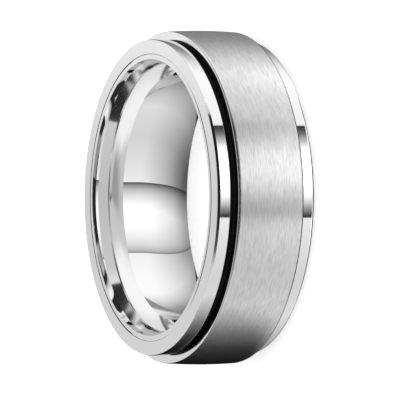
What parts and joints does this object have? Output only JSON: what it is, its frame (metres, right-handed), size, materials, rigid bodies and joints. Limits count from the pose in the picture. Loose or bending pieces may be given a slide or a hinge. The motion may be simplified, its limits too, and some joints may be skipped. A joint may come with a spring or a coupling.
{
  "type": "spinner ring",
  "caption": "Polished steel finger ring with a brushed outer band that turns freely between its two rims.",
  "frame": {"origin": "on the ring's axis, in the plane of the lower end face that the ring lies on", "axes": "+Z along the finger axis, up from the lower end face to the upper one"},
  "size_m": [0.0252, 0.0252, 0.008],
  "materials": {
    "polished_steel": "mirror polished stainless steel",
    "brushed_band": "stainless steel brushed around the band"
  },
  "bodies": {
    "band": {"inner_sleeve": "polished_steel", "end_collar": "polished_steel"},
    "spinner": {"spinner_band": "brushed_band"}
  },
  "joints": [
    {"name": "spinner_spin", "type": "hinge", "parent": "band", "child": "spinner", "pos_m": [0, 0, 0.00385], "axis": [0, 0, 1], "continuous": true}
  ]
}
